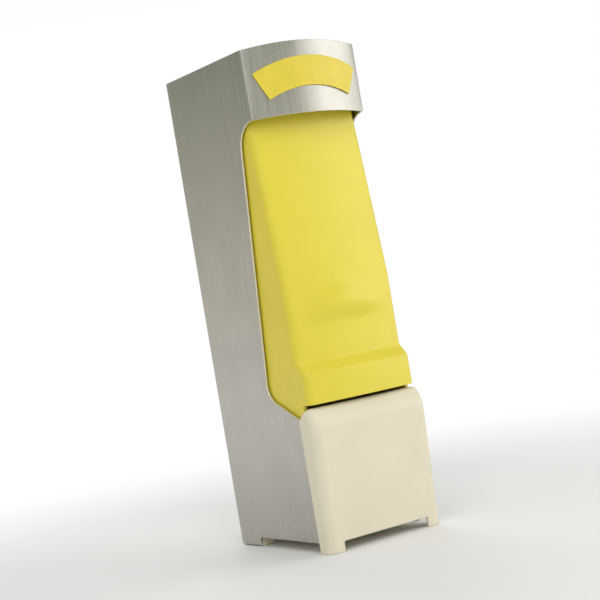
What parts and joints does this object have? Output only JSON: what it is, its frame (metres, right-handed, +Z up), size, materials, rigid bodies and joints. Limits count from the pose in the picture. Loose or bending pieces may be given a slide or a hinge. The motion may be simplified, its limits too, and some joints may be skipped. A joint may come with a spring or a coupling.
{
  "type": "wire butter slicer",
  "caption": "Hand-held lever tool: a steel wrap round a square butter chamber; squeezing the yellow lever sweeps a taut wire under the open mouth and feeds the bar down.",
  "frame": {"origin": "centre of the bounding box in plan, on the plane that the feet stand on", "axes": "+Z up along the body, -Y towards the lever and nose (front), +Y towards the loading door (back), +X to the right for someone who faces the lever, which is the feed crank's side"},
  "size_m": [0.0602, 0.0812, 0.2172],
  "materials": {
    "steel": "brushed",
    "bright_steel": "bright zinc plate",
    "yellow": "moulded, semi-gloss",
    "badge": "bare printed film",
    "cream": "moulded, satin",
    "grey": "moulded, matt",
    "rubber": "matt"
  },
  "bodies": {
    "housing": {"shell": "steel", "banner": "badge", "top_cap": "cream", "chamber": "cream", "nose": "cream", "base_plate": "cream", "guide_bar": "steel", "lever_pin": "bright_steel", "lever_spring": "bright_steel", "stop_pad_left": "rubber", "stop_pad_right": "rubber", "door_pin": "bright_steel", "cap_screw_left": "bright_steel", "cap_screw_right": "bright_steel", "frame_screw_1": "bright_steel", "frame_screw_2": "bright_steel", "frame_screw_3": "bright_steel", "frame_screw_4": "bright_steel", "nose_screw_left": "bright_steel", "nose_screw_right": "bright_steel", "pillar_screw_left": "bright_steel", "pillar_screw_right": "bright_steel"},
    "lever": {"lever": "yellow", "lever_bush_left": "grey", "lever_bush_right": "grey", "feed_crank": "steel", "crank_rivet_1": "bright_steel", "crank_rivet_2": "bright_steel", "cutter_wire": "bright_steel", "wire_screw_left": "bright_steel", "wire_screw_right": "bright_steel"},
    "feed": {"feed_bar": "steel", "feed_pin": "bright_steel"},
    "pusher": {"pusher": "cream", "pusher_foot": "grey", "drive_grip_spring": "bright_steel", "hold_grip_spring": "bright_steel"},
    "drive_grip": {"drive_grip": "steel"},
    "hold_grip": {"hold_grip": "steel"},
    "door": {"door": "cream", "latch_spring": "bright_steel"},
    "latch": {"latch_button": "cream"}
  },
  "joints": [
    {"name": "lever_hinge", "type": "hinge", "parent": "housing", "child": "lever", "pos_m": [0, -0.0146, 0.199], "axis": [1, 0, 0], "range_deg": [0, 10.7], "stiffness_Nm_per_rad": 0.8, "springref_deg": -17.19, "deforming": ["lever_spring"]},
    {"name": "feed_slide", "type": "slide", "parent": "housing", "child": "feed", "axis": [0, 0, 1], "range_m": [0, 0.0068]},
    {"name": "pusher_slide", "type": "slide", "parent": "housing", "child": "pusher", "axis": [0, 0, 1], "range_m": [-0.12, 0]},
    {"name": "drive_grip_tilt", "type": "hinge", "parent": "pusher", "child": "drive_grip", "pos_m": [0.022, 0.0178, 0.1535], "axis": [1, 0, 0], "range_deg": [-5, 5], "stiffness_Nm_per_rad": 0.005, "deforming": ["drive_grip_spring"]},
    {"name": "hold_grip_tilt", "type": "hinge", "parent": "pusher", "child": "hold_grip", "pos_m": [-0.022, 0.0178, 0.1535], "axis": [1, 0, 0], "range_deg": [-5, 5], "stiffness_Nm_per_rad": 0.005, "deforming": ["hold_grip_spring"]},
    {"name": "door_hinge", "type": "hinge", "parent": "housing", "child": "door", "pos_m": [0, 0.0384, 0.014], "axis": [-1, 0, 0], "range_deg": [0, 88]},
    {"name": "latch_slide", "type": "slide", "parent": "door", "child": "latch", "axis": [0, 0, -1], "range_m": [0, 0.0022], "stiffness_N_per_m": 300, "springref_m": -0.001, "deforming": ["latch_spring"]}
  ],
  "couplings": [
    {"joint": "feed_slide", "follows": "lever_hinge", "m_per_rad": 0.036}
  ]
}
